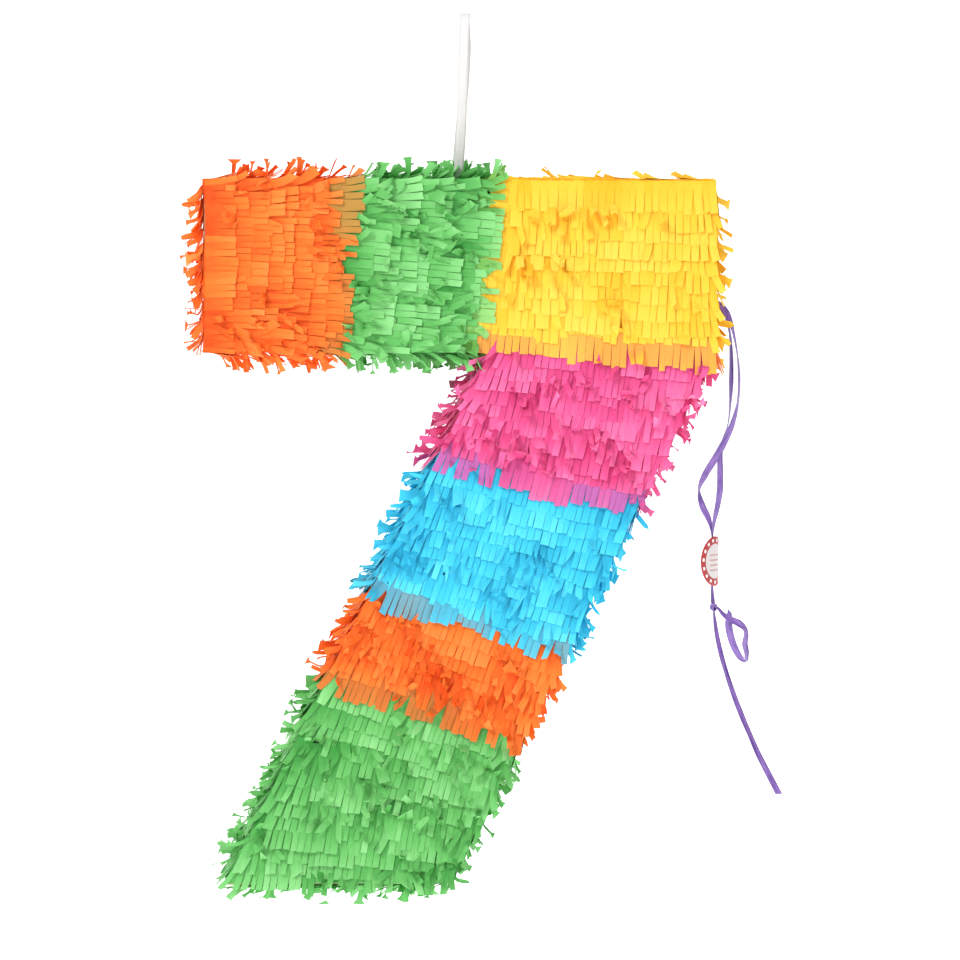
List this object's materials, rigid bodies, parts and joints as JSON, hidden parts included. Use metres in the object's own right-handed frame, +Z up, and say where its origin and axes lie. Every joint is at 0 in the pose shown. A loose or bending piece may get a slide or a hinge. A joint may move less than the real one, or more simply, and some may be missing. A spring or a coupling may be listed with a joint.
{
  "type": "pinata",
  "caption": "Flat cardboard pinata in the shape of a number seven, dressed in bands of cut tissue fringe, with a hanging loop, a filler flap and a tagged ribbon",
  "frame": {"origin": "inside the bend at the top of the hanging loop, where a hook or a rope holds the pinata", "axes": "+X to the right of the seven as it is read, -Y out of the front face, +Z up"},
  "size_m": [0.4147, 0.0818, 0.6177],
  "materials": {
    "white_tape": "flat woven white tape, matte",
    "brown_card": "plain brown corrugated board, matte",
    "paper_tape": "brown gummed paper tape, slight sheen",
    "orange_tissue": "thin orange tissue paper cut to a fringe, matte, slightly see-through",
    "green_tissue": "thin green tissue paper cut to a fringe, matte, slightly see-through",
    "yellow_tissue": "thin yellow tissue paper cut to a fringe, matte, slightly see-through",
    "pink_tissue": "thin pink tissue paper cut to a fringe, matte, slightly see-through",
    "blue_tissue": "thin sky blue tissue paper cut to a fringe, matte, slightly see-through",
    "purple_ribbon": "satin purple curling ribbon, 5 mm wide",
    "tag_card": "coated card, pale centre with a red and white checked rim"
  },
  "bodies": {
    "loop": {"hanging_loop": "white_tape"},
    "box": {"loop_tie": "white_tape", "loop_knot": "white_tape", "loop_backing_plate": "brown_card", "front_panel": "brown_card", "back_panel": "brown_card", "wall_top": "brown_card", "wall_end_right": "brown_card", "wall_stem_outer": "brown_card", "wall_foot": "brown_card", "wall_stem_inner": "brown_card", "wall_bar_under": "brown_card", "wall_end_left": "brown_card", "front_seam_tape": "paper_tape", "back_seam_tape": "paper_tape", "fringe_orange_bar": "orange_tissue", "fringe_green_bar": "green_tissue", "fringe_yellow": "yellow_tissue", "fringe_pink": "pink_tissue", "fringe_blue": "blue_tissue", "fringe_orange_stem": "orange_tissue", "fringe_green_stem": "green_tissue", "ribbon_anchor_knot": "purple_ribbon", "ribbon_lead": "purple_ribbon"},
    "flap": {"filler_flap": "brown_card", "fringe_flap": "yellow_tissue"},
    "ribbon": {"ribbon_strand_front": "purple_ribbon", "ribbon_strand_back": "purple_ribbon", "ribbon_knot": "purple_ribbon", "ribbon_tail_long": "purple_ribbon", "ribbon_tail_curly": "purple_ribbon"},
    "tag": {"round_tag": "tag_card"}
  },
  "joints": [
    {"name": "box_swing", "type": "hinge", "parent": "loop", "child": "box", "pos_m": [-0.0057, 0, -0.1205], "axis": [0, 1, 0], "range_deg": [-30, 30]},
    {"name": "flap_hinge", "type": "hinge", "parent": "box", "child": "flap", "pos_m": [0.0988, 0.02, -0.119], "axis": [-1, 0, 0], "range_deg": [0, 100]},
    {"name": "ribbon_swing", "type": "hinge", "parent": "box", "child": "ribbon", "pos_m": [0.1787, 0, -0.204], "axis": [0, -1, 0], "range_deg": [-8, 75]},
    {"name": "tag_turn", "type": "hinge", "parent": "ribbon", "child": "tag", "pos_m": [0.17655, 0, -0.3877], "axis": [0, 0, 1], "range_deg": [-90, 90]}
  ]
}
